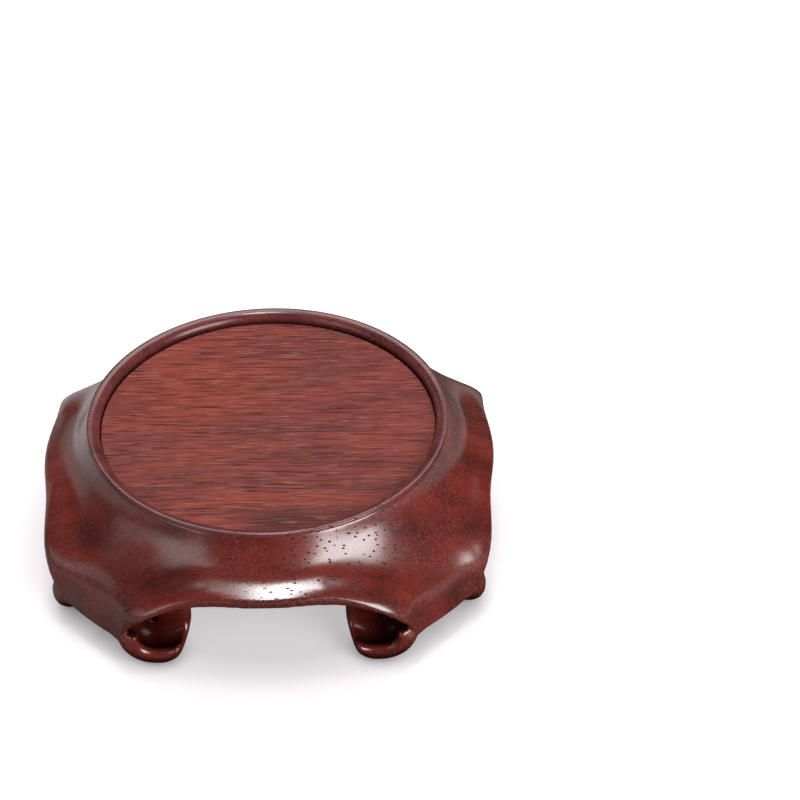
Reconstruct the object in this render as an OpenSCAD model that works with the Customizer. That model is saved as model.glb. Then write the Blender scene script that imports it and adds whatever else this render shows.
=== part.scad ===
// Round hardwood display stand: a framed panel on four arched legs with curled toes.
// Four carved leg segments meet in the middle of the arches and carry a ring of four
// rim members. The panel drops into the ring and a dovetailed batten keeps it flat.
// Origin: on the floor, on the stand's axis. +Z is up. Arches face +X, +Y, -X and -Y.

/* [Seat] */
// Diameter of the recess that takes the foot of a vase
seat_d = 100; // [94:1:104]
// Depth of the recess below the top of the rim
recess_depth = 3.2; // [2.4:0.2:4]
// Height of the bead above the legs
rim_h = 0.9; // [0.7:0.1:1.4]
// Radius of the bead's inner slope, down to the recess
rim_slope = 2.7; // [2.4:0.1:2.8]
// Width of the flat along the bead's top
rim_flat = 0.2; // [0.1:0.1:0.4]
// Radius of the bead's outer edge
rim_round = 0.6; // [0.4:0.1:0.7]
// Thickness of the wall behind the recess
rim_wall = 2.2; // [1.8:0.1:2.6]
// Width of the ledge that the panel lies on
ledge_w = 4; // [3:0.25:5]

/* [Body] */
// Height from the floor to the top of the rim
height = 42.2; // [40:0.2:46]
// Depth of the rim members below the top of the legs
frame_depth = 10.7; // [10:0.1:11.4]
// Width of a leg's upper edge, outside the rim members
skirt_lip = 1.5; // [1.2:0.1:2]
// Width of the shelf that the rim members stand on
shelf_w = 3.8; // [3:0.2:5]
// Radius of the hollow between the legs, at the floor
hollow_r = 55; // [53:0.5:56]

/* [Arches] */
// Height of the arch's edge at its crown
arch_h = 29; // [28.2:0.1:29.4]
// Angle from the arch's crown to the corner where it meets the leg
arch_half = 36.3; // [35.5:0.1:37]
// Sharpness of the arch: larger is flatter over the crown and steeper at the corner
arch_power = 3.9; // [3.6:0.1:4.4]
// Diameter across two opposite crowns
crown_d = 134.4; // [131:0.2:138]
// Thickness of the edge over the crown
lip_t = 3; // [2.4:0.1:3.4]
// Angle on each side of the crown over which the edge keeps that thickness
lip_run = 12; // [8:1:16]
// Width of the flat edge that flares out over the crown
flare_w = 3.5; // [2.8:0.1:4]
// Rise of that flare
flare_h = 1.2; // [0.8:0.1:1.6]

/* [Cove] */
// Reach of the slope below the rim, over the crown
slope_out = 2.6; // [2.2:0.1:3]
// Fall of that slope
slope_fall = 2.8; // [2.4:0.1:3.4]
// Reach of the slope below the rim, over the leg
leg_slope_out = 1.7; // [1.2:0.1:2.2]
// Fall of that slope
leg_slope_fall = 4; // [3.4:0.1:4.6]
// Reach of the cove over the crown
cove_out = 4.9; // [4.2:0.1:5.4]
// Depth of the cove over the crown, below a leg's upper edge
cove_fall = 5.6; // [5:0.1:6.4]
// Reach of the cove over the leg
leg_out = 6.4; // [5.6:0.1:7.2]
// Depth of the cove over the leg
leg_fall = 8.8; // [8:0.1:9.6]
// Reach of the cove's hollow over the crown
hollow_out = 6.8; // [6:0.1:7.6]
// Height of that hollow above the arch's edge
hollow_h = 1.6; // [1.2:0.1:2]
// Reach of the shoulder over the leg
shoulder_out = 15; // [14:0.1:16]
// Depth of the shoulder below the arch's crown
shoulder_fall = 1.4; // [0.8:0.1:2]
// Height of the leg's flared foot
leg_flare_h = 8.6; // [7:0.2:10]
// Width of the leg's flared foot
leg_flare = 1; // [0.6:0.1:1.6]

/* [Legs] */
// Diameter across two opposite legs, between their bands
leg_d = 141.6; // [138:0.2:144]
// Diameter across the bands beside the legs
band_d = 148.2; // [146:0.2:150]
// Angle from the arch's crown at which the band stands out most
band_peak = 32.5; // [31.5:0.25:33.5]
// Angle over which the band draws back to the leg
band_back = 7; // [6:0.25:8]
// Height of a leg's lower edge above the floor
leg_edge_h = 8; // [7.5:0.1:8.5]
// Rise of the lower edge between a leg's two toes
leg_rise = 0.8; // [0:0.1:1.5]
// Height of the raised band above the leg
band_proud = 1.3; // [0.5:0.1:1.6]
// Height of the raised band's upper end at the crown
band_h = 29.3; // [29:0.1:29.8]
// Angle at which the raised band begins
band_start = 20; // [18:0.5:22]
// Angle over which it rises to its full height
band_rise = 11; // [10:0.5:12]
// Angle at which the raised band starts to fade
band_fade = 34; // [33:0.25:35]
// Angle at which the raised band dies at the leg
band_end = 38; // [37.5:0.25:39]

/* [Toes] */
// Thickness of the curled toe
toe_t = 4; // [3.6:0.1:4.2]
// Distance from the stand's middle to the toe's front edge
toe_front = 63.2; // [62:0.2:64]
// Width of the flat sole, from front to back
toe_sole = 2.2; // [1.6:0.1:3]
// Radius of the curl at the back of the toe
toe_curl_r = 9; // [8:0.25:9.5]
// Radius of the curl where the toe turns up into the leg
heel_r = 11; // [10:0.1:11.4]
// Distance from the arch's middle to the heel's centre
toe_heel = 32.2; // [31.4:0.2:32.6]
// Angle from the arch's crown to the toe's tip
toe_tip = 23.7; // [22:0.1:25]
// Radius of the toe's rounded tip
tip_round = 3.2; // [2:0.1:3.6]
// Radius of the rounding under the band
foot_round = 5; // [4:0.25:6]
// Height to which the heel runs up under the band
heel_top = 14; // [13:0.1:15]
// Draw of the heel's upper end, back under the band
heel_taper = 3; // [2.4:0.1:4]
// Height to which the toe's back runs up inside the leg
foot_top = 22; // [20:0.25:22.5]
// Draw of the toe's back at that height
foot_taper = 6.5; // [6:0.1:7.5]

/* [Panel] */
// Thickness of the panel
panel_t = 4.4; // [4:0.1:4.8]
// Gap round the panel, so that it can swell
panel_gap = 0.15; // [0.1:0.05:0.3]
// Radius of the panel's eased upper edge
panel_ease = 0.5; // [0.2:0.1:0.8]
// Width of the batten at its foot
batten_w = 12; // [9:0.5:14]
// Spread of the batten's dovetail on each side
dovetail = 1; // [0.5:0.1:1.5]
// Depth of the dovetail in the panel
dovetail_h = 1.6; // [1.2:0.1:2]
// Length of the batten's end inside a rim member
batten_end = 2.4; // [1.6:0.1:2.8]

/* [Joints] */
// Gap between a piece and the seat that it is fitted into
joint_gap = 0.1; // [0.05:0.05:0.15]
// Width of a rim tenon, along the stand's radius
rim_tenon_w = 3.4; // [2.6:0.1:3.8]
// Height of a rim tenon
rim_tenon_h = 2; // [1.6:0.1:2.2]
// Length of a rim tenon, half of it in each member
rim_tenon_l = 12; // [8:0.5:14]
// Width of an apron tenon, along the stand's radius
apron_tenon_w = 5; // [4:0.25:5.5]
// Height of an apron tenon
apron_tenon_h = 3; // [2.4:0.1:3.2]
// Length of an apron tenon, half of it in each segment
apron_tenon_l = 16; // [12:0.5:18]
// Diameter of a frame dowel
dowel_d = 2.4; // [1.8:0.1:2.6]
// Length of a frame dowel, half of it in the leg
dowel_l = 6; // [4:0.25:6.5]
// Angle between a frame dowel and the nearest joint
dowel_angle = 22.5; // [16:0.5:28]

/* [Hidden] */
$fn = 64;

wood = "#5a1f1b";
panel_wood = "#8a3f35";
tenon_wood = "#6b2a22";
bamboo = "#c9a56b";

seat_r = seat_d / 2;
rim_out_r = seat_r + rim_wall;
ledge_r = seat_r - ledge_w;
skirt_z = height - rim_h;
shelf_z = skirt_z - frame_depth;
panel_top = height - recess_depth;
ledge_z = panel_top - panel_t;
socket_r = rim_out_r + joint_gap;
skirt_r = socket_r + skirt_lip;
shelf_r = socket_r - shelf_w;
crown_r = crown_d / 2;
leg_r = leg_d / 2;
band_r = band_d / 2;
toe_curl = toe_front - toe_t / 2 - toe_sole;
toe_back = toe_curl - toe_curl_r;
foot_r = band_r + 0.4;
batten_z = ledge_z + dovetail_h;
batten_l = 2 * (ledge_r + batten_end);
rim_tenon_r = (ledge_r + rim_out_r) / 2;
rim_tenon_z = (shelf_z + ledge_z) / 2;
apron_tenon_r = shelf_r + 2.9 + apron_tenon_w / 2;
apron_tenon_z = (arch_h - lip_t + shelf_z) / 2;
dowel_r = seat_r + rim_wall / 2 - 0.6;

columns = 40;
cove_rows = 9;
band_rows = 4;
wall_rows = 4;
quarter = 90;
slack = 1;
ridge_share = 0.13;
swell_power = 2.3;
edge_thin = 0.65;

function clamp(t) = min(1, max(0, t));
function ease(t) = let (u = clamp(t)) u * u * (3 - 2 * u);
function mix(a, b, t) = a + (b - a) * t;

// The arch's edge, by the angle from its crown. Past the corner it is the leg's lower edge.
function edge_z(a) = leg_edge_h + (arch_h - leg_edge_h) * (1 - pow(clamp(a / arch_half), arch_power))
    + leg_rise * ease((a - arch_half) / (quarter / 2 - arch_half));
function edge_r(a) = crown_r + (band_r - crown_r) * pow(ease(a / band_peak), swell_power)
    - (band_r - leg_r) * ease((a - band_peak) / band_back) - band_at(a);
function edge_t(a) = lip_t * (1 - edge_thin * ease((a - lip_run) / (arch_half - lip_run)));

// The cove from the rim to that edge: hollow over the crown, and carried over a full shoulder
// down the leg.
function cove_knots(a) = let (
    foot = [edge_r(a), edge_z(a)],
    turn = ease(a / arch_half),
    drop = clamp((arch_h - foot.y) / (arch_h - leg_edge_h))
) [
    [skirt_r, skirt_z],
    [skirt_r + mix(slope_out, leg_slope_out, turn), skirt_z - mix(slope_fall, leg_slope_fall, turn)],
    [skirt_r + mix(cove_out, leg_out, turn), skirt_z - mix(cove_fall, leg_fall, turn)],
    [skirt_r + mix(hollow_out, shoulder_out, drop), arch_h + mix(hollow_h, -shoulder_fall, drop)],
    [foot.x - mix(flare_w, leg_flare, drop), mix(arch_h + flare_h, leg_edge_h + leg_flare_h, drop)],
    foot,
];
function halfway(p, v) = [for (i = [0 : len(p) - 2]) mix(p[i], p[i + 1], v)];
function last_leg(p, v) = len(p) == 2 ? p : last_leg(halfway(p, v), v);
function bezier(p, v) = let (q = last_leg(p, v)) mix(q[0], q[1], v);
function outward(p, v) = let (q = last_leg(p, v), s = q[1] - q[0]) [-s.y, s.x] / norm(s);

// The raised band lies between the arch's edge and this crease.
function crease_z(a) = leg_edge_h
    + (band_h - leg_edge_h) * pow(1 - pow(clamp(a / band_end), 6.5), 0.8);
function band_at(a) = band_proud * ease((a - band_start) / band_rise)
    * (1 - ease((a - band_fade) / (band_end - band_fade)));
function find_z(p, z, low, high, left) = left == 0 ? (low + high) / 2 : let (mid = (low + high) / 2)
    bezier(p, mid).y > z ? find_z(p, z, mid, high, left - 1) : find_z(p, z, low, mid, left - 1);

// The hollow's wall, from the shelf's inner edge out to the floor.
function wall_r(z) = mix(shelf_r, hollow_r, ease((shelf_z - z) / 18));

// One closed section of a leg segment at the angle a from the nearest crown.
function section(a) = let (
    knots = cove_knots(a),
    split = min(0.94, find_z(knots, crease_z(a), 0, 1, 12)),
    proud = band_at(a),
    lip = bezier(knots, 1) + proud * outward(knots, 1),
    foot = lip - [0.3, edge_t(a)]
) concat(
    [for (i = [0 : cove_rows]) let (v = split * (1 - pow(1 - i / cove_rows, 1.6)))
        bezier(knots, v) + proud * pow(clamp(1 + (v - split) / ridge_share), 2) * outward(knots, v)],
    [for (i = [1 : band_rows]) let (v = mix(split, 1, i / band_rows))
        bezier(knots, v) + proud * outward(knots, v)],
    [lip + [0.2, -0.4 * edge_t(a)], foot],
    [for (i = [0 : wall_rows]) let (z = mix(foot.y, shelf_z, i / wall_rows)) [wall_r(z), z]],
    [[socket_r, shelf_z], [socket_r, skirt_z]]
);

module leg_loft() {
    angles = [for (k = [0 : columns]) quarter * k / columns];
    rings = [for (b = angles) section(b <= quarter / 2 ? b : quarter - b)];
    n = len(rings[0]);
    points = [for (k = [0 : columns], p = rings[k]) [p.x * cos(angles[k]), p.x * sin(angles[k]), p.y]];
    sides = [for (k = [0 : columns - 1], i = [0 : n - 1]) let (
        j = (i + 1) % n,
        a = k * n + i,
        b = k * n + j
    ) each [[a, a + n, b + n], [a, b + n, b]]];
    ends = [[for (i = [0 : n - 1]) i], [for (i = [n - 1 : -1 : 0]) columns * n + i]];
    polyhedron(points, concat(sides, ends), convexity = 6);
}

// The toe's section: a short flat sole, a rounded front lip and a curl up at the back.
module sole_section() {
    translate([toe_curl, 0]) square([toe_sole, toe_t]);
    translate([toe_front - toe_t / 2, toe_t / 2]) circle(toe_t / 2);
    translate([toe_curl, 0]) back_curl();
    back_wall(toe_curl_r, heel_r);
}

module back_curl() {
    translate([0, toe_curl_r]) difference() {
        circle(toe_curl_r);
        circle(toe_curl_r - toe_t);
        translate([0, -2 * toe_curl_r]) square(4 * toe_curl_r);
        translate([-2 * toe_curl_r, 0]) square(4 * toe_curl_r);
    }
}

module back_wall(from, to) {
    translate([toe_back, from]) square([toe_t, to - from]);
}

// Sweeps a section along the arch, between two distances from its middle.
module swept(from, to) {
    translate([0, to, 0]) rotate([90, 0, 0]) linear_extrude(height = to - from) children();
}

// The same section turned up about the heel's centre, which closes the toe as a cup.
module heel() {
    translate([0, toe_heel, heel_r]) rotate([0, quarter, 0]) rotate_extrude(angle = quarter)
        translate([heel_r, 0]) rotate([0, 0, quarter]) sole_section();
}

// The foot's outline about the axis, rounded under the band.
module foot_outline() {
    rotate_extrude() {
        square([foot_r - foot_round, foot_round]);
        translate([foot_r - foot_round, foot_round]) circle(foot_round);
        polygon([
            [0, foot_round], [foot_r, foot_round], [foot_r, leg_edge_h],
            [foot_r - heel_taper, heel_top], [foot_r - foot_taper, foot_top], [0, foot_top],
        ]);
    }
}

// The wedge between the toe's tip and the leg, rounded along its lower edge.
module tip_outline() {
    rotate([0, 0, toe_tip]) rotate([90, 0, 90]) linear_extrude(height = foot_r + slack) {
        translate([tip_round, tip_round]) circle(tip_round);
        translate([tip_round, 0]) square([foot_r, height]);
        translate([0, tip_round]) square([foot_r, height - tip_round]);
    }
}

module toe() {
    intersection() {
        union() {
            swept(toe_heel / 2, toe_heel) sole_section();
            swept(toe_heel / 2, toe_heel + heel_r - toe_t) back_wall(heel_r, foot_top);
            heel();
            translate([toe_back, toe_heel + heel_r - toe_t, heel_r])
                cube([toe_front - toe_back, toe_t, heel_top - heel_r]);
        }
        foot_outline();
        tip_outline();
    }
}

// A segment from the crown on +X to the crown on +Y, with its leg half way.
module leg_segment() {
    difference() {
        leg_loft();
        for (azimuth = [0, quarter]) rotate([0, 0, azimuth]) translate([apron_tenon_r, 0, apron_tenon_z])
            cube([apron_tenon_w, apron_tenon_l, apron_tenon_h] + 2 * joint_gap * [1, 1, 1], center = true);
        for (azimuth = [dowel_angle, quarter - dowel_angle]) rotate([0, 0, azimuth]) dowel(joint_gap / 2);
    }
    toe();
    mirror([1, -1, 0]) toe();
}

module dowel(gap) {
    translate([dowel_r, 0, shelf_z - dowel_l / 2 - gap])
        cylinder(h = dowel_l + 2 * gap, d = dowel_d + 2 * gap);
}

module rim_section() {
    slope_z = height - rim_slope;
    flat_r = seat_r + rim_slope;
    translate([ledge_r, shelf_z]) square([rim_out_r - ledge_r, ledge_z - shelf_z]);
    translate([seat_r, shelf_z]) square([rim_wall, slope_z - shelf_z]);
    intersection() {
        translate([flat_r, slope_z]) circle(rim_slope);
        polygon([
            [seat_r, slope_z], [rim_out_r, slope_z], [rim_out_r, skirt_z],
            [flat_r, skirt_z], [flat_r, height], [seat_r, height],
        ]);
    }
    translate([flat_r, skirt_z]) square([rim_flat, rim_h]);
    translate([flat_r, skirt_z]) square([rim_flat + rim_round, rim_h - rim_round]);
    translate([flat_r + rim_flat, height - rim_round]) circle(rim_round);
}

// A rim member over the crown on +X, cut for its two tenons and its dowels.
module rim_member() {
    difference() {
        rotate([0, 0, -quarter / 2]) rotate_extrude(angle = quarter) rim_section();
        for (azimuth = [-quarter / 2, quarter / 2]) rotate([0, 0, azimuth])
            translate([rim_tenon_r, 0, rim_tenon_z])
                cube([rim_tenon_w, rim_tenon_l, rim_tenon_h] + 2 * joint_gap * [1, 1, 1], center = true);
        for (azimuth = [-dowel_angle, dowel_angle]) rotate([0, 0, azimuth]) dowel(joint_gap / 2);
    }
}

module rim_segment(azimuth) {
    color(wood) rotate([0, 0, azimuth]) rim_member();
}

module housed_rim_segment(azimuth) {
    color(wood) difference() {
        rotate([0, 0, azimuth]) rim_member();
        translate([-batten_w / 2 - joint_gap, -batten_l / 2 - joint_gap, shelf_z - slack])
            cube([batten_w + 2 * joint_gap, batten_l + 2 * joint_gap, ledge_z - shelf_z + 2 * slack]);
    }
}

module rim_tenon(azimuth) {
    color(tenon_wood) rotate([0, 0, azimuth]) translate([rim_tenon_r, 0, rim_tenon_z])
        cube([rim_tenon_w, rim_tenon_l, rim_tenon_h], center = true);
}

module apron_tenon(azimuth) {
    color(tenon_wood) rotate([0, 0, azimuth]) translate([apron_tenon_r, 0, apron_tenon_z])
        cube([apron_tenon_w, apron_tenon_l, apron_tenon_h], center = true);
}

// The batten's end view, from the shelf's level up into the panel.
module batten_section(gap) {
    half = batten_w / 2 + gap;
    polygon([
        [-half, shelf_z], [half, shelf_z], [half, ledge_z],
        [half + dovetail, batten_z + gap], [-half - dovetail, batten_z + gap], [-half, ledge_z],
    ]);
}

module panel_batten() {
    color(tenon_wood) rotate([90, 0, 0])
        linear_extrude(height = batten_l, center = true) batten_section(0);
}

module top_panel() {
    r = seat_r - panel_gap;
    color(panel_wood) difference() {
        rotate_extrude() {
            translate([0, ledge_z]) square([r, panel_t - panel_ease]);
            translate([0, ledge_z]) square([r - panel_ease, panel_t]);
            translate([r - panel_ease, panel_top - panel_ease]) circle(panel_ease);
        }
        rotate([90, 0, 0]) linear_extrude(height = seat_d + slack, center = true) batten_section(joint_gap);
    }
}

module leg(azimuth) {
    color(wood) rotate([0, 0, azimuth]) leg_segment();
}

module frame_dowels() {
    color(bamboo) for (azimuth = [0 : quarter : 270], side = [-1, 1])
        rotate([0, 0, azimuth + side * dowel_angle]) dowel(0);
}

top_panel();
panel_batten();
housed_rim_segment(-90);  // rim_segment_front
rim_segment(0);  // rim_segment_right
housed_rim_segment(90);  // rim_segment_back
rim_segment(180);  // rim_segment_left
rim_tenon(-135);  // rim_tenon_front_left
rim_tenon(-45);  // rim_tenon_front_right
rim_tenon(45);  // rim_tenon_back_right
rim_tenon(135);  // rim_tenon_back_left
leg(180);  // leg_segment_front_left
leg(-90);  // leg_segment_front_right
leg(0);  // leg_segment_back_right
leg(90);  // leg_segment_back_left
apron_tenon(-90);  // apron_tenon_front
apron_tenon(0);  // apron_tenon_right
apron_tenon(90);  // apron_tenon_back
apron_tenon(180);  // apron_tenon_left
frame_dowels();
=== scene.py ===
"""Round rosewood display stand on four arched legs with curled toes, dressed over its CAD frame."""

import math

import bpy
from mathutils import Matrix, Vector


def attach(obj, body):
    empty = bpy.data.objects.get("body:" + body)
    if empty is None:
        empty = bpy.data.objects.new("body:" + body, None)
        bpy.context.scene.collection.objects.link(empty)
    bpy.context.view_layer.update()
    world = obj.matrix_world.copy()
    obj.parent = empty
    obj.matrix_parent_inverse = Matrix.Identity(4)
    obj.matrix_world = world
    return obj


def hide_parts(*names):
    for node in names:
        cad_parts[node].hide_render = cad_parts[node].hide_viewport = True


bl_info = {
    "name": "Rosewood Display Stand",
    "version": (1, 0, 0),
    "blender": (4, 5, 0),
    "location": "View3D > Sidebar > Stand",
    "description": "Models the carved legs, rim and panel of a round hardwood stand over its CAD frame",
    "category": "Object",
}

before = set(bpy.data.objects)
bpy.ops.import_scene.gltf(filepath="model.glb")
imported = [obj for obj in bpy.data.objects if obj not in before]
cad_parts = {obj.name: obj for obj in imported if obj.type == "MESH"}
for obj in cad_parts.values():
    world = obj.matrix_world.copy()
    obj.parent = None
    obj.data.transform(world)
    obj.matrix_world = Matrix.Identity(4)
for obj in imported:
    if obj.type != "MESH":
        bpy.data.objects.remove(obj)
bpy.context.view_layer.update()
MM = 0.001
QUARTER = 90.0


# Sizes and colours that a user would change

class StandSizes(bpy.types.PropertyGroup):
    """Sizes of the carved pieces, in millimetres."""

    height: bpy.props.FloatProperty(
        name="Height", description="Floor to the top of the rim, in mm",
        default=42.2, min=40.0, max=46.0)
    seat_r: bpy.props.FloatProperty(
        name="Seat Radius", description="Radius of the recess, in mm",
        default=50.0, min=47.0, max=52.0)
    skirt_r: bpy.props.FloatProperty(
        name="Skirt Radius", description="Radius of a leg's upper edge, in mm",
        default=53.8, min=53.0, max=55.0)
    skirt_z: bpy.props.FloatProperty(
        name="Skirt Height", description="Height of a leg's upper edge, in mm",
        default=41.3, min=40.0, max=42.0)
    crown_r: bpy.props.FloatProperty(
        name="Crown Radius", description="Reach of the edge in the middle of an arch, in mm",
        default=67.2)
    crown_z: bpy.props.FloatProperty(
        name="Crown Height", description="Height of the edge in the middle of an arch, in mm",
        default=29.0)
    band_r: bpy.props.FloatProperty(
        name="Band Radius", description="Reach of the edge where it stands out most, in mm",
        default=75.0)
    leg_r: bpy.props.FloatProperty(
        name="Leg Radius", description="Reach of a leg's lower edge, in mm",
        default=73.2)
    leg_z: bpy.props.FloatProperty(
        name="Leg Edge Height", description="Height of a leg's lower edge, in mm",
        default=9.2)
    toe_t: bpy.props.FloatProperty(
        name="Toe Thickness", description="Thickness of the curled toe, in mm",
        default=4.0)
    toe_front: bpy.props.FloatProperty(
        name="Toe Front", description="Distance from the axis to a toe's front, in mm",
        default=63.5)
    voxel: bpy.props.FloatProperty(
        name="Carving Step", description="Size of the grid that the carved legs are fused on, in mm",
        default=0.45)


class StandFinish(bpy.types.PropertyGroup):
    """Colours of the woods and the floor."""

    body_red: bpy.props.StringProperty(
        name="Body Heartwood", description="Reddest wood of the legs, sRGB", default="9e362b")
    body_dark: bpy.props.StringProperty(
        name="Body Shade", description="Darkest wood of the legs, sRGB", default="621f1a")
    panel_red: bpy.props.StringProperty(
        name="Panel Heartwood", description="Main colour of the panel, sRGB", default="a9554d")
    panel_dark: bpy.props.StringProperty(
        name="Panel Streak", description="Dark streaks of the panel, sRGB", default="582a27")
    tenon: bpy.props.StringProperty(
        name="Tenon Wood", description="Raw wood of the hidden joints, sRGB", default="6b2a22")
    bamboo: bpy.props.StringProperty(
        name="Bamboo", description="Dowels, sRGB", default="c9a56b")
    floor: bpy.props.StringProperty(
        name="Floor", description="Studio floor, sRGB", default="fbf9fa")


# Joinery between the rim frame, the legs and the panel, in mm from the axis and the floor

SHELF_Z = 30.6
SOCKET_R = 52.3
FRAME_R = 52.2
LEDGE_R = 46.0
LEDGE_Z = 34.6

# Inside wall of a leg: its radius at the shelf and below, and the height over which it changes

WALL_TOP_R = 48.5
WALL_LOW_R = 55.0
WALL_SPAN = 18
WALL_STEPS = 12

# Edge of the arch, by the angle in degrees from the middle of the nearest arch

ARCH_HALF = 36.3
ARCH_POWER = 3.9
LEG_RISE = 0.2
BAND_PEAK = 33.0
BAND_POWER = 2.9
BAND_BACK = 6

# Thickness of that edge in mm, the angle from which it thins towards the leg, and its rounding

LIP_T = 3.0
LIP_THINNING = 0.65
LIP_START = 12
LIP_BULGE = 0.2
LIP_BULGE_AT = 0.4
LIP_UNDERCUT = 0.3

# Knots of the cove in mm out and down from a leg's upper edge: over the arch, then on the leg

COVE_TOP = (1.5, 2.6), (0.9, 2.4)
COVE_FALL = (3.4, 6.2), (2.8, 6.2)
COVE_BEND = (5.8, 9.0), (6.8, 10.6)
COVE_FLOOR = (8.2, 10.3), (11.6, 15.8)
CURVE_STEPS = 60

# The angles over which the cove turns into the leg's shoulder, and over which its ridge runs out

SHOULDER_START = 14
SHOULDER_SPAN = 28
RUN_OUT_SPAN = 12

# The cove's lower ridge: mm down from the upper edge and in from the band, over the arch, then on the leg

RIDGE_DOWN = 11.2, 21.5
RIDGE_INSET = 3.0, 1.2
RIDGE_RUN_OUT = 1.9

# Knots beside the ridge, as shares of the way to the cove and to the edge, and the most in mm by the arch

RIDGE_SOFT = 0.12, 0.45
FACE_BY_ARCH = 0.4
FACE_ON_LEG = 0.5
FACE_MOST = 2.8

# Rings of a leg in degrees, and how far the carving goes past its joints and its upper edge before the cut

RING_STEP = 0.5
RING_OVERLAP = 2
TRIM = 0.6

# The toe's section in mm: its lip as places and normals from the front, and the curl up behind

TOE_LIP = (
    ((0.1, 4.3), (1.0, 0.1)),
    ((-0.15, 3.2), (0.95, -0.3)),
    ((-0.9, 2.4), (0.6, -0.8)),
    ((-1.8, 2.07), (0.2, -0.98)),
    ((-2.6, 2.0), (0.0, -1.0)),
)
CURL_BACK = 3.2
CURL_Z = 9.0
CURL_R = 7.0
CURL_STEPS = 12
NOSE_STEPS = 6

# The toe along the arch in mm: its slanted tip, how far its sole lifts there, and the top of its upright

TIP_X = 51.5
TIP_Y = 22.4
TIP_SLANT = 0.26
TIP_ROUND = 0.18
SOLE_Z = 2
LIFT = 3.4
LIFT_END = 0.8
LIFT_FADE = 10
UPRIGHT_Z = 24.0, 17.0
UPRIGHT_STEPS = 5
TOE_STEPS = 22

# The heel: where its turn begins in mm, the turn's radius and degrees, and how far out it may reach

HEEL_Y = 32.4
HEEL_R = 11.0
HEEL_TURN = 100
HEEL_PROUD = 0.4
HEEL_SLOPE = 0.5
HEEL_STEPS = 14

# Keeps the rings of a toe and a heel from closing to a point

LEAST = 0.02

# The rim's bead in mm: its width, the round of its outer edge, and the slope into the recess

BEAD_W = 3.8
EDGE_R = 0.7
EDGE_STEPS = 6
SLOPE_W = 3.0
SLOPE_H = 2.8
SLOPE_STEPS = 12
RIM_STEPS = 60

# Turn of each leg and each rim member about the axis, in degrees

LEG_TURNS = {"back_right": 0, "back_left": 90, "front_left": 180, "front_right": 270}
RIM_TURNS = {"right": 0, "back": 90, "left": 180, "front": 270}

# Patches in the woods and a light one that the wax mirrors from the paper: centre and radius in mm

WARM_PATCH = (-24, 22, 39), 34
ASHEN_PATCH = (2, -47, 39), 16
WORN_PATCH = (-61.5, -40.5, 10), 7
COARSE_PATCH = (24, -52, 38), 45
MIRROR_PATCH = (-120, 90, 0), 190

# Studio in metres and watts: floor, lamps with their places and sizes, and the camera fitted to the photo

FLOOR_SIZE = 6.0
FLOOR_DROP = 0.00002
WORLD_GLOW = 0.04
LAMP_AIM = Vector((0, 0, 0.02))
LAMPS = (
    ("softbox_top", (0.01, 0.05, 1.2), (0.14, 0.26), 2.2),
    ("softbox_high", (0.0, 0.65, 1.05), (1.0, 0.7), 5.2),
    ("softbox_left", (-0.673, -0.606, 0.46), (0.42, 0.6), 0.66),
    ("softbox_side", (-0.914, -0.297, 0.28), (0.46, 0.3), 0.14),
    ("softbox_back", (-0.79, 0.615, 0.2), (0.75, 0.38), 0.25),
    ("softbox_right", (0.649, -0.672, 0.44), (0.57, 0.6), 5.6),
)
CAMERA_PLACE = Vector((28.826, -589.412, 516.62)) * MM
CAMERA_RIGHT = Vector((0.9997687, -0.02108877, -0.00421993))
CAMERA_UP = Vector((0.01643991, 0.6228656, 0.78215611))
SENSOR_MM = 36.0
LENS_MM = 114.478


# Small helpers

MERGE_M = 0.00001
ACROSS_DIAGONAL = Matrix(((0, 1, 0, 0), (1, 0, 0, 0), (0, 0, 1, 0), (0, 0, 0, 1)))


def clamp(t):
    return min(1.0, max(0.0, t))


def ease(t):
    u = clamp(t)
    return u * u * (3 - 2 * u)


def mix(a, b, t):
    return a + (b - a) * t


def srgb(text):
    """Turns an sRGB hex value into a linear colour."""
    channels = [int(text[i:i + 2], 16) / 255 for i in (0, 2, 4)]
    linear = [c / 12.92 if c <= 0.04045 else ((c + 0.055) / 1.055) ** 2.4 for c in channels]
    return (*linear, 1.0)


def add_node(tree, kind, settings=None, links=None, **attributes):
    """Adds a node, sets its attributes and sockets, and links sockets of other nodes to it."""
    node = tree.nodes.new(kind)
    for name, value in attributes.items():
        setattr(node, name, value)
    for name, value in (settings or {}).items():
        node.inputs[name].default_value = value
    for name, socket in (links or {}).items():
        tree.links.new(socket, node.inputs[name])
    return node


def set_ramp(node, stops):
    """Gives a colour ramp its stops, each a place and an sRGB value."""
    ramp = node.color_ramp
    while len(ramp.elements) < len(stops):
        ramp.elements.new(0.5)
    for element, (place, colour) in zip(ramp.elements, stops):
        element.position = place
        element.color = srgb(colour)


def select_only(*objects):
    """Deselects everything, then selects these objects and makes the first one active."""
    if bpy.context.mode != "OBJECT":
        bpy.ops.object.mode_set(mode="OBJECT")
    bpy.ops.object.select_all(action="DESELECT")
    for piece in objects:
        piece.select_set(True)
    bpy.context.view_layer.objects.active = objects[0]


def new_mesh_piece(name, points, faces):
    """Makes an object at the origin from points in millimetres."""
    mesh = bpy.data.meshes.new(name)
    mesh.from_pydata([Vector(p) * MM for p in points], [], faces)
    piece = bpy.data.objects.new(name, mesh)
    bpy.context.scene.collection.objects.link(piece)
    return piece


def skin(rings):
    """Points and faces of a closed tube through rings with equal counts, capped at both ends."""
    count = len(rings[0])
    points = [p for ring in rings for p in ring]
    faces = [tuple(range(count))[::-1]]
    for k in range(len(rings) - 1):
        for i in range(count):
            j = (i + 1) % count
            faces.append((k * count + i, k * count + j, (k + 1) * count + j, (k + 1) * count + i))
    faces.append(tuple((len(rings) - 1) * count + i for i in range(count)))
    return points, faces


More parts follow.
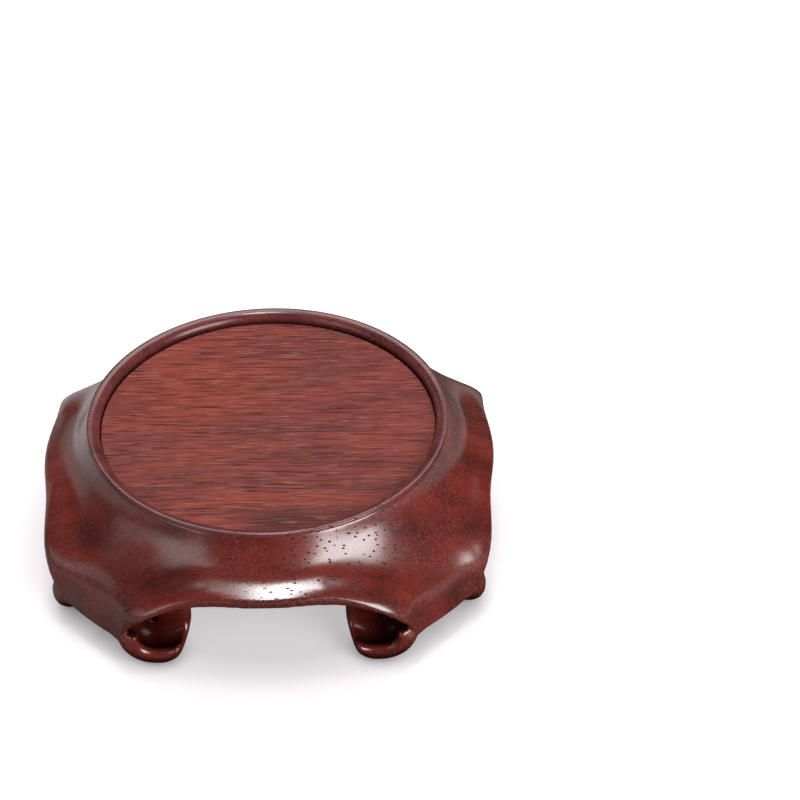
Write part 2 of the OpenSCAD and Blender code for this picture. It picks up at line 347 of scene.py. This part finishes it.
def tidy_normals(piece):
    """Merges doubles and turns every face outwards."""
    select_only(piece)
    bpy.ops.object.mode_set(mode="EDIT")
    bpy.ops.mesh.select_all(action="SELECT")
    bpy.ops.mesh.remove_doubles(threshold=MERGE_M)
    bpy.ops.mesh.normals_make_consistent(inside=False)
    bpy.ops.object.mode_set(mode="OBJECT")


def mirrored(piece):
    """Copies a piece across the leg's diagonal."""
    twin = piece.copy()
    twin.data = piece.data.copy()
    bpy.context.scene.collection.objects.link(twin)
    twin.data.transform(ACROSS_DIAGONAL)
    return twin


# The leg's section

def edge_z(sizes, angle):
    """Height of the arch's edge. Past the corner it is the leg's lower edge."""
    drop = clamp(angle / ARCH_HALF) ** ARCH_POWER
    rise = LEG_RISE * ease((angle - ARCH_HALF) / (QUARTER / 2 - ARCH_HALF))
    return sizes.leg_z + (sizes.crown_z - sizes.leg_z) * (1 - drop) + rise


def edge_r(sizes, angle, depth=1.0):
    """Reach of that edge, which swells beside the leg and draws back on it by a share of the depth."""
    swell = (sizes.band_r - sizes.crown_r) * ease(angle / BAND_PEAK) ** BAND_POWER
    back = depth * (sizes.band_r - sizes.leg_r) * ease((angle - BAND_PEAK) / BAND_BACK)
    return sizes.crown_r + swell - back


def cove_knot(sizes, over_arch, on_leg, t):
    """Knot of the cove between its place over the arch and its place on the leg."""
    first = Vector((sizes.skirt_r + over_arch[0], sizes.skirt_z - over_arch[1]))
    last = Vector((sizes.skirt_r + on_leg[0], sizes.skirt_z - on_leg[1]))
    return first.lerp(last, t)


def cove_knots(sizes, angle):
    """Curve from the rim over the cove to the edge.

    Its lower ridge stands beside the arch and runs out on the leg.
    """
    foot = Vector((edge_r(sizes, angle), edge_z(sizes, angle)))
    turn = ease(angle / ARCH_HALF)
    shoulder = ease((angle - SHOULDER_START) / SHOULDER_SPAN)
    run_out = ease((angle - BAND_PEAK) / RUN_OUT_SPAN)
    cove = cove_knot(sizes, *COVE_FLOOR, shoulder)
    inset = mix(*RIDGE_INSET, clamp(angle / ARCH_HALF)) + RIDGE_RUN_OUT * run_out
    ridge_r = edge_r(sizes, angle, depth=0.0) - inset
    ridge = Vector((ridge_r, sizes.skirt_z - mix(*RIDGE_DOWN, shoulder)))
    by_arch = min(FACE_BY_ARCH, FACE_MOST / (foot - ridge).length)
    return (
        Vector((sizes.skirt_r, sizes.skirt_z)),
        cove_knot(sizes, *COVE_TOP, turn),
        cove_knot(sizes, *COVE_FALL, turn),
        cove_knot(sizes, *COVE_BEND, shoulder),
        cove,
        ridge.lerp(cove, mix(*RIDGE_SOFT, shoulder)),
        ridge.lerp(foot, mix(by_arch, FACE_ON_LEG, run_out)),
        foot,
    )


def on_curve(knots, v):
    """Point on the smooth curve that these knots draw, a clamped cubic spline."""
    spans = len(knots) - 3
    marks = [0] * 3 + list(range(spans + 1)) + [spans] * 3
    u = clamp(v) * spans
    first = min(int(u), spans - 1)
    level = list(knots[first:first + 4])
    for step in (1, 2, 3):
        starts = [marks[first + step + i] for i in range(4 - step)]
        ends = [marks[first + 4 + i] for i in range(4 - step)]
        level = [p.lerp(q, (u - m) / (n - m)) for p, q, m, n in zip(level, level[1:], starts, ends)]
    return level[0]


def leg_section(sizes, angle):
    """Closed section of the leg as points of radius and height: cove, edge, underside, wall, socket."""
    knots = cove_knots(sizes, angle)
    points = [Vector((sizes.skirt_r - TRIM, sizes.skirt_z + TRIM))]
    points += [on_curve(knots, i / CURVE_STEPS) for i in range(CURVE_STEPS + 1)]
    lip = points[-1]
    thick = LIP_T * (1 - LIP_THINNING * ease((angle - LIP_START) / (ARCH_HALF - LIP_START)))
    points.append(lip + Vector((LIP_BULGE, -LIP_BULGE_AT * thick)))
    foot = lip - Vector((LIP_UNDERCUT, thick))
    points.append(foot)
    for i in range(WALL_STEPS + 1):
        z = mix(foot.y, SHELF_Z, i / WALL_STEPS)
        points.append(Vector((mix(WALL_TOP_R, WALL_LOW_R, ease((SHELF_Z - z) / WALL_SPAN)), z)))
    points.append(Vector((SOCKET_R, SHELF_Z)))
    points.append(Vector((SOCKET_R, sizes.skirt_z + TRIM)))
    return points


def leg_rings(sizes):
    """Sections of one leg round a quarter of the stand and a little past both joints."""
    first = round(-RING_OVERLAP / RING_STEP)
    last = round((QUARTER + RING_OVERLAP) / RING_STEP)
    rings = []
    for k in range(first, last + 1):
        turn = k * RING_STEP
        angle = abs(turn) if turn <= QUARTER / 2 else abs(QUARTER - turn)
        c, d = math.cos(math.radians(turn)), math.sin(math.radians(turn))
        rings.append([(p.x * c, p.x * d, p.y) for p in leg_section(sizes, angle)])
    return rings


# The toe: a ribbon in the shape of a J that runs along the arch, lifts at its tip and turns up at its heel

def toe_line(sizes):
    """Middle line of the ribbon from its front lip, under the sole and up behind, with its normal."""
    front = sizes.toe_front - sizes.toe_t / 2
    line = [(Vector((front + out, up)), Vector(normal)) for (out, up), normal in TOE_LIP]
    curl = Vector((front - CURL_BACK, CURL_Z))
    for i in range(CURL_STEPS + 1):
        turn = math.radians(270 - 90 * i / CURL_STEPS)
        out = Vector((math.cos(turn), math.sin(turn)))
        line.append((curl + CURL_R * out, out))
    return line


def toe_ring(line, half, place):
    """Closed ring round the ribbon's middle line; place puts a point of the section in the leg's frame."""
    outer = [p + half * n.normalized() for p, n in line]
    inner = [p - half * n.normalized() for p, n in line]
    tip, lean = line[0]
    across = Vector((-lean.y, lean.x)).normalized()
    nose = []
    for i in range(1, NOSE_STEPS):
        turn = math.radians(180 * i / NOSE_STEPS)
        nose.append(tip - half * math.cos(turn) * lean.normalized() + half * math.sin(turn) * across)
    return [place(p) for p in outer] + [place(p) for p in reversed(inner)] + [place(p) for p in nose]


def toe_rings(sizes):
    """Rings of one toe from its tip to where its heel begins."""
    base = toe_line(sizes)
    top = base[-1][0]
    rings = []
    for k in range(TOE_STEPS + 1):
        t = k / TOE_STEPS
        half = sizes.toe_t / 2 * math.sqrt(max(LEAST, 1 - (1 - clamp(t / TIP_ROUND)) ** 2))
        lift = LIFT * (1 - clamp(t / LIFT_END)) ** 2
        reach = mix(*UPRIGHT_Z, t)
        heights = [mix(top.y, reach, i / UPRIGHT_STEPS) for i in range(1, UPRIGHT_STEPS + 1)]
        line = base + [(Vector((top.x, z)), Vector((-1.0, 0.0))) for z in heights]

        def along(p, t=t, lift=lift):
            tip = TIP_Y + TIP_SLANT * (p.x - TIP_X)
            raised = lift * clamp(1 - (p.y - SOLE_Z) / LIFT_FADE)
            return (p.x, mix(tip, HEEL_Y, t), p.y + raised)

        rings.append(toe_ring(line, half, along))
    return rings


def heel_rings(sizes):
    """Rings of the heel: the same ribbon without its upright, turned up about an axis along its depth."""
    base = toe_line(sizes)
    rings = []
    for k in range(HEEL_STEPS + 1):
        turn = math.radians(HEEL_TURN * k / HEEL_STEPS)

        def round_heel(p, turn=turn):
            arm = max(LEAST, HEEL_R - p.y)
            y, z = HEEL_Y + arm * math.sin(turn), HEEL_R - arm * math.cos(turn)
            reach = sizes.band_r + HEEL_PROUD - HEEL_SLOPE * max(0.0, z - sizes.leg_z)
            return (min(p.x, math.sqrt(reach * reach - y * y)), y, z)

        rings.append(toe_ring(base, sizes.toe_t / 2, round_heel))
    return rings


# Making one carved leg from its parts

def fuse(parts, voxel):
    """Joins these parts into the first one, under one smooth skin."""
    body = parts[0]
    select_only(*parts)
    bpy.ops.object.join()
    remesh = body.modifiers.new("fuse", "REMESH")
    remesh.mode = "VOXEL"
    remesh.voxel_size = voxel
    soften = body.modifiers.new("soften", "SMOOTH")
    soften.factor = 0.5
    soften.iterations = 7
    select_only(body)
    bpy.ops.object.modifier_apply(modifier="fuse")
    bpy.ops.object.modifier_apply(modifier="soften")


def cut_to_joints(body, top):
    """Cuts a leg off at the middle of its two arches and at its upper edge."""
    select_only(body)
    bpy.ops.object.mode_set(mode="EDIT")
    for normal in ((0, 1, 0), (1, 0, 0)):
        bpy.ops.mesh.select_all(action="SELECT")
        bpy.ops.mesh.bisect(plane_co=(0, 0, 0), plane_no=normal, use_fill=True, clear_inner=True)
    bpy.ops.mesh.select_all(action="SELECT")
    bpy.ops.mesh.bisect(plane_co=(0, 0, top), plane_no=(0, 0, 1), use_fill=True, clear_outer=True)
    bpy.ops.object.mode_set(mode="OBJECT")
    tidy_normals(body)
    bpy.ops.object.shade_smooth_by_angle(angle=math.radians(50))


# The rim's section

def rim_profile(sizes):
    """Closed section of the rim as points of radius and height: frame, bead, slope, recess, ledge."""
    top, r = sizes.height, sizes.seat_r
    profile = [(LEDGE_R, SHELF_Z), (FRAME_R, SHELF_Z), (FRAME_R, sizes.skirt_z)]
    profile.append((r + BEAD_W, sizes.skirt_z))
    edge = r + BEAD_W - EDGE_R
    for i in range(EDGE_STEPS + 1):
        turn = math.radians(10 + 80 * i / EDGE_STEPS)
        profile.append((edge + EDGE_R * math.cos(turn), top - EDGE_R + EDGE_R * math.sin(turn)))
    for i in range(1, SLOPE_STEPS + 1):
        turn = math.radians(90 + 90 * i / SLOPE_STEPS)
        profile.append((r + SLOPE_W + SLOPE_W * math.cos(turn), top - SLOPE_H + SLOPE_H * math.sin(turn)))
    return profile + [(r, LEDGE_Z), (LEDGE_R, LEDGE_Z)]


# Layers of the woods

def placed(tree, sizes, seed=0.0):
    """Object coordinates, scaled to cells of these sizes in millimetres along X, Y and Z."""
    place = add_node(tree, "ShaderNodeTexCoord")
    at = add_node(tree, "ShaderNodeMapping",
                  {"Location": (seed, seed, seed), "Scale": [1 / (MM * size) for size in sizes]},
                  {"Vector": place.outputs["Object"]})
    return at.outputs["Vector"]


def noise_at(tree, sizes, detail=2.0, rough=0.5, twist=0.0, seed=0.0):
    """Noise with blobs of these sizes in millimetres along X, Y and Z."""
    noise = add_node(tree, "ShaderNodeTexNoise",
                     {"Scale": 1.0, "Detail": detail, "Roughness": rough, "Distortion": twist},
                     {"Vector": placed(tree, sizes, seed)})
    return noise.outputs["Fac"]


def pores_at(tree, sizes):
    """Distance to the nearest pore of a field with this spacing in millimetres, as a share of it."""
    cells = add_node(tree, "ShaderNodeTexVoronoi", {"Scale": 1.0, "Randomness": 1.0},
                     {"Vector": placed(tree, sizes)})
    return cells.outputs["Distance"]


def share(tree, value, low, high, top=1.0):
    """How much of a layer shows: none where the value is at low, the top share where it is at high."""
    node = add_node(tree, "ShaderNodeMapRange",
                    {"From Min": low, "From Max": high, "To Min": 0.0, "To Max": top}, {"Value": value})
    return node.outputs["Result"]


def between(tree, value, start, end):
    """Runs from start, where the value is 0, to end, where it is 1."""
    node = add_node(tree, "ShaderNodeMapRange", {"To Min": start, "To Max": end}, {"Value": value})
    return node.outputs["Result"]


def product(tree, first, second):
    """Where both layers show."""
    node = add_node(tree, "ShaderNodeMath", None, {0: first, 1: second}, operation="MULTIPLY")
    return node.outputs["Value"]


def spot(tree, centre, radius):
    """A soft round patch in millimetres: full at its centre, none at its radius."""
    place = add_node(tree, "ShaderNodeTexCoord")
    away = add_node(tree, "ShaderNodeVectorMath", {1: [c * MM for c in centre]},
                    {0: place.outputs["Object"]}, operation="DISTANCE")
    return share(tree, away.outputs["Value"], radius * MM, 0.0)


def laid_over(tree, amount, below, colour):
    """Lays a colour over another one."""
    node = add_node(tree, "ShaderNodeMix", {"B": srgb(colour)}, {"Factor": amount, "A": below},
                    data_type="RGBA")
    return node.outputs["Result"]


def ramp_of(tree, value, stops):
    """Colours a value by stops of a place and an sRGB value."""
    node = add_node(tree, "ShaderNodeValToRGB", None, {"Fac": value})
    set_ramp(node, stops)
    return node.outputs["Color"]


def fibre_bump(tree, shader, fibre, strength):
    """Raises the fibres a little."""
    bump = add_node(tree, "ShaderNodeBump", {"Strength": strength, "Distance": 0.1 * MM}, {"Height": fibre})
    tree.links.new(bump.outputs["Normal"], shader.inputs["Normal"])


# Woods and paper

def waxed_rosewood_panel():
    """Quarter-sawn rosewood, scraped and thinly waxed: dull terracotta with long dark and pale dashes."""
    finish = bpy.context.scene.stand_finish
    material = bpy.data.materials.new("rosewood_panel_waxed")
    material.use_nodes = True
    tree = material.node_tree
    shader = tree.nodes["Principled BSDF"]
    cloud = noise_at(tree, (34, 8, 8), detail=3.0, rough=0.6, twist=0.3, seed=3.0)
    colour = ramp_of(tree, cloud, [(0.3, "884c4a"), (0.5, finish.panel_red), (0.7, "c05e50")])
    colour = laid_over(tree, spot(tree, *WARM_PATCH), colour, "be5847")
    fibre = noise_at(tree, (12, 0.5, 0.5), detail=4.0, rough=0.65, twist=0.2)
    colour = laid_over(tree, share(tree, fibre, 0.52, 0.34, top=0.95), colour, finish.panel_dark)
    seam = noise_at(tree, (15, 0.4, 0.4), twist=0.3, seed=4.0)
    colour = laid_over(tree, share(tree, seam, 0.42, 0.33, top=0.8), colour, "4c2322")
    dash = noise_at(tree, (6, 0.4, 0.4), detail=1.0, seed=9.0)
    colour = laid_over(tree, share(tree, dash, 0.58, 0.74, top=0.7), colour, "cc8478")
    ashen = product(tree, spot(tree, *ASHEN_PATCH), share(tree, fibre, 0.6, 0.45))
    colour = laid_over(tree, ashen, colour, "4e332f")
    tree.links.new(colour, shader.inputs["Base Color"])
    shader.inputs["Roughness"].default_value = 0.48
    shader.inputs["Specular IOR Level"].default_value = 0.1
    fibre_bump(tree, shader, fibre, 0.25)
    return material


def waxed_rosewood_body(name, dark, middle, red, gloss):
    """Carved rosewood under wax: dark red-brown with a soft gloss that open pores break up into dots, pale
    specks painted in as glints, and painted shade darkening its recesses.
    """
    material = bpy.data.materials.new(name)
    material.use_nodes = True
    tree = material.node_tree
    shader = tree.nodes["Principled BSDF"]
    cloud = noise_at(tree, (45, 10, 12), detail=4.0, rough=0.55, twist=0.4)
    colour = ramp_of(tree, cloud, [(0.32, dark), (0.52, middle), (0.7, red)])
    fibre = noise_at(tree, (7, 0.7, 0.7), detail=3.0, rough=0.6, seed=5.0)
    colour = laid_over(tree, share(tree, fibre, 0.46, 0.3, top=0.6), colour, "3a1715")
    colour = laid_over(tree, share(tree, fibre, 0.58, 0.76, top=0.5), colour, "9a4a40")
    speck = noise_at(tree, (0.42, 0.42, 1.5), rough=0.6, seed=2.0)
    # Painted glints: in scattered patches, pale specks are laid into the colour to stand for light caught
    # in the pores.
    where = share(tree, noise_at(tree, (16, 16, 12), seed=7.0), 0.36, 0.54)
    glint = product(tree, share(tree, speck, 0.52, 0.66, top=0.55), where)
    colour = laid_over(tree, glint, colour, "b8685f")
    colour = laid_over(tree, share(tree, speck, 0.42, 0.28, top=0.6), colour, "32110f")
    worn = product(tree, spot(tree, *WORN_PATCH), share(tree, speck, 0.35, 0.5))
    colour = laid_over(tree, worn, colour, "9c4a2e")
    coarse = between(tree, spot(tree, *COARSE_PATCH), 0.25, 1.6)
    pore = product(tree, share(tree, pores_at(tree, (2.6, 1.2, 1.2)), 0.25, 0.18), coarse)
    colour = laid_over(tree, pore, colour, "3b1512")
    # Painted shade: ambient occlusion darkens the colour to near black in recesses such as the toe hollows.
    recess_shade_ao = add_node(tree, "ShaderNodeAmbientOcclusion", {"Distance": 16 * MM}, samples=8)
    colour = laid_over(tree, share(tree, recess_shade_ao.outputs["AO"], 0.8, 0.42, top=0.95), colour, "120605")
    tree.links.new(colour, shader.inputs["Base Color"])
    tree.links.new(between(tree, pore, 0.2, 0.7), shader.inputs["Roughness"])
    # Painted shade: the wax coat and the specular are cut back in those recesses, so they reflect less.
    out_of_shade = share(tree, recess_shade_ao.outputs["AO"], 0.55, 0.92)
    wax = product(tree, between(tree, pore, gloss, 0.0), out_of_shade)
    tree.links.new(wax, shader.inputs["Coat Weight"])
    tree.links.new(between(tree, out_of_shade, 0.05, 0.5), shader.inputs["Specular IOR Level"])
    shader.inputs["Coat Roughness"].default_value = 0.22
    shader.inputs["Coat IOR"].default_value = 2.0
    shader.inputs["IOR"].default_value = 1.5
    fibre_bump(tree, shader, fibre, 0.12)
    return material


def raw_wood(name, colour):
    """Sawn wood inside a joint: plain and dull."""
    material = bpy.data.materials.new(name)
    material.use_nodes = True
    shader = material.node_tree.nodes["Principled BSDF"]
    shader.inputs["Base Color"].default_value = srgb(colour)
    shader.inputs["Roughness"].default_value = 0.7
    return material


def white_paper(colour):
    """Seamless studio paper that shows white to the camera, with a painted faint shadow round what stands
    on it where its emission dims close to the stand, over a diffuse part that keeps the cast shadow.
    """
    material = bpy.data.materials.new("white_paper")
    material.use_nodes = True
    tree = material.node_tree
    tree.nodes.clear()
    place = add_node(tree, "ShaderNodeTexCoord")
    away = add_node(tree, "ShaderNodeVectorMath", None, {0: place.outputs["Object"]}, operation="LENGTH")
    # Painted shadow: the emission seen by the camera is halved near the axis and dimmed further where
    # ambient occlusion finds the stand close.
    glow = add_node(tree, "ShaderNodeMapRange",
                    {"From Min": 0.06, "From Max": 0.095, "To Min": 0.5, "To Max": 1.0},
                    {"Value": away.outputs["Value"]})
    near = add_node(tree, "ShaderNodeAmbientOcclusion", {"Distance": 14 * MM}, samples=8)
    strength = product(tree, glow.outputs["Result"], share(tree, near.outputs["AO"], 0.0, 0.75))
    lit = add_node(tree, "ShaderNodeEmission", {"Color": srgb(colour)}, {"Strength": strength})
    shaded = add_node(tree, "ShaderNodeBsdfDiffuse", {"Color": srgb("dacdd2")})
    seen = add_node(tree, "ShaderNodeAddShader", None, {0: lit.outputs[0], 1: shaded.outputs[0]})
    path = add_node(tree, "ShaderNodeLightPath")
    # Painted reflection: to glossy rays the paper is dark near the stand, lighter far off and light in a
    # patch at the back left; to other rays it is plain grey.
    mirror = add_node(tree, "ShaderNodeMapRange",
                      {"From Min": 0.11, "From Max": 0.26, "To Min": 0.08, "To Max": 0.5},
                      {"Value": away.outputs["Value"]})
    bright = add_node(tree, "ShaderNodeMath", None,
                      {0: mirror.outputs["Result"], 1: spot(tree, *MIRROR_PATCH)}, operation="MAXIMUM")
    tone = add_node(tree, "ShaderNodeMix", {"A": srgb("b4b0b1")},
                    {"Factor": path.outputs["Is Glossy Ray"], "B": bright.outputs["Value"]},
                    data_type="RGBA")
    paper = add_node(tree, "ShaderNodeBsdfDiffuse", None, {"Color": tone.outputs["Result"]})
    both = add_node(tree, "ShaderNodeMixShader", None,
                    {0: path.outputs["Is Camera Ray"], 1: paper.outputs[0], 2: seen.outputs[0]})
    add_node(tree, "ShaderNodeOutputMaterial", None, {"Surface": both.outputs[0]})
    return material


# Operators, one for each group of like pieces

class STAND_OT_legs(bpy.types.Operator):
    """Carves one leg segment and copies it round the stand"""

    bl_idname = "stand.legs"
    bl_label = "Carve Legs"

    def execute(self, context):
        sizes = context.scene.stand_sizes
        body = new_mesh_piece("leg", *skin(leg_rings(sizes)))
        toe = new_mesh_piece("toe", *skin(toe_rings(sizes)))
        heel = new_mesh_piece("heel", *skin(heel_rings(sizes)))
        parts = [body, toe, heel, mirrored(toe), mirrored(heel)]
        for piece in parts:
            tidy_normals(piece)
        fuse(parts, sizes.voxel * MM)
        cut_to_joints(body, sizes.skirt_z * MM)
        for name, turn in LEG_TURNS.items():
            leg = body.copy()
            leg.data = body.data.copy()
            leg.name = leg.data.name = "carved_leg_" + name
            context.scene.collection.objects.link(leg)
            leg.data.transform(Matrix.Rotation(math.radians(turn), 4, "Z"))
            leg.data.materials.clear()
            leg.data.materials.append(bpy.data.materials["rosewood_body_waxed"])
            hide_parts("leg_segment_" + name)
            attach(leg, "root")
        bpy.data.objects.remove(body)
        return {"FINISHED"}


class STAND_OT_rim(bpy.types.Operator):
    """Turns the rim's bead and splits it into its four members"""

    bl_idname = "stand.rim"
    bl_label = "Turn Rim"

    def execute(self, context):
        profile = rim_profile(context.scene.stand_sizes)
        for name, turn in RIM_TURNS.items():
            rings = []
            for k in range(RIM_STEPS + 1):
                psi = math.radians(turn - QUARTER / 2 + QUARTER * k / RIM_STEPS)
                rings.append([(r * math.cos(psi), r * math.sin(psi), z) for r, z in profile])
            member = new_mesh_piece("rim_member_" + name, *skin(rings))
            tidy_normals(member)
            bpy.ops.object.shade_smooth_by_angle(angle=math.radians(35))
            member.data.materials.append(bpy.data.materials["rosewood_rim_waxed"])
            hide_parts("rim_segment_" + name)
            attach(member, "root")
        return {"FINISHED"}


class STAND_OT_finishes(bpy.types.Operator):
    """Makes the woods and gives the pieces that keep their CAD shape a finish"""

    bl_idname = "stand.finishes"
    bl_label = "Apply Finishes"

    def execute(self, context):
        finish = context.scene.stand_finish
        panel = waxed_rosewood_panel()
        waxed_rosewood_body("rosewood_body_waxed", finish.body_dark, "8a2d24", finish.body_red, gloss=0.9)
        # The rim's purple-brown colours are partly its own tone and partly a painted grey sheen laid into
        # them.
        waxed_rosewood_body("rosewood_rim_waxed", "602c2e", "864244", "944a4b", gloss=0.3)
        tenon = raw_wood("rosewood_sawn", finish.tenon)
        bamboo = raw_wood("bamboo_split", finish.bamboo)
        for name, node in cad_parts.items():
            if name == "top_panel":
                wood = panel
            elif name == "frame_dowels":
                wood = bamboo
            elif "tenon" in name or name == "panel_batten":
                wood = tenon
            else:
                continue
            node.data.materials.clear()
            node.data.materials.append(wood)
        return {"FINISHED"}


class STAND_OT_stage(bpy.types.Operator):
    """Lays the floor and sets the lamps and the camera"""

    bl_idname = "stand.stage"
    bl_label = "Set Stage"

    def execute(self, context):
        finish = context.scene.stand_finish
        bpy.ops.mesh.primitive_plane_add(size=FLOOR_SIZE, location=(0, 0, -FLOOR_DROP))
        floor = context.object
        floor.name = "studio_floor"
        floor.data.materials.append(white_paper(finish.floor))

        world = context.scene.world or bpy.data.worlds.new("studio")
        context.scene.world = world
        world.use_nodes = True
        world.node_tree.nodes["Background"].inputs["Color"].default_value = srgb("ffffff")
        world.node_tree.nodes["Background"].inputs["Strength"].default_value = WORLD_GLOW

        for name, place, size, power in LAMPS:
            light = bpy.data.lights.new(name, "AREA")
            light.shape = "RECTANGLE"
            light.size, light.size_y = size
            light.energy = power
            lamp = bpy.data.objects.new(name, light)
            lamp.location = place
            lamp.rotation_euler = (LAMP_AIM - Vector(place)).to_track_quat("-Z", "Y").to_euler()
            context.scene.collection.objects.link(lamp)

        data = bpy.data.cameras.new("photo_camera")
        data.sensor_width = SENSOR_MM
        data.lens = LENS_MM
        data.clip_start, data.clip_end = 0.01, 20.0
        camera = bpy.data.objects.new("photo_camera", data)
        back = CAMERA_RIGHT.cross(CAMERA_UP)
        turn = Matrix((CAMERA_RIGHT, CAMERA_UP, back)).transposed().to_4x4()
        camera.matrix_world = Matrix.Translation(CAMERA_PLACE) @ turn
        context.scene.collection.objects.link(camera)
        context.scene.camera = camera
        context.scene.view_settings.view_transform = "Standard"
        return {"FINISHED"}


class STAND_PT_panel(bpy.types.Panel):
    """Lists the stand's steps, sizes and colours"""

    bl_idname = "STAND_PT_panel"
    bl_label = "Display Stand"
    bl_space_type = "VIEW_3D"
    bl_region_type = "UI"
    bl_category = "Stand"

    def draw(self, context):
        for step in (STAND_OT_finishes, STAND_OT_legs, STAND_OT_rim, STAND_OT_stage):
            self.layout.operator(step.bl_idname)
        for group in (context.scene.stand_sizes, context.scene.stand_finish):
            for name in group.__annotations__:
                self.layout.prop(group, name)


CLASSES = (
    StandSizes,
    StandFinish,
    STAND_OT_finishes,
    STAND_OT_legs,
    STAND_OT_rim,
    STAND_OT_stage,
    STAND_PT_panel,
)


def register():
    for item in CLASSES:
        bpy.utils.register_class(item)
    bpy.types.Scene.stand_sizes = bpy.props.PointerProperty(type=StandSizes)
    bpy.types.Scene.stand_finish = bpy.props.PointerProperty(type=StandFinish)


def unregister():
    del bpy.types.Scene.stand_finish
    del bpy.types.Scene.stand_sizes
    for item in reversed(CLASSES):
        bpy.utils.unregister_class(item)


def main():
    register()
    bpy.ops.stand.finishes()
    bpy.ops.stand.legs()
    bpy.ops.stand.rim()
    bpy.ops.stand.stage()


if __name__ == "__main__":
    main()
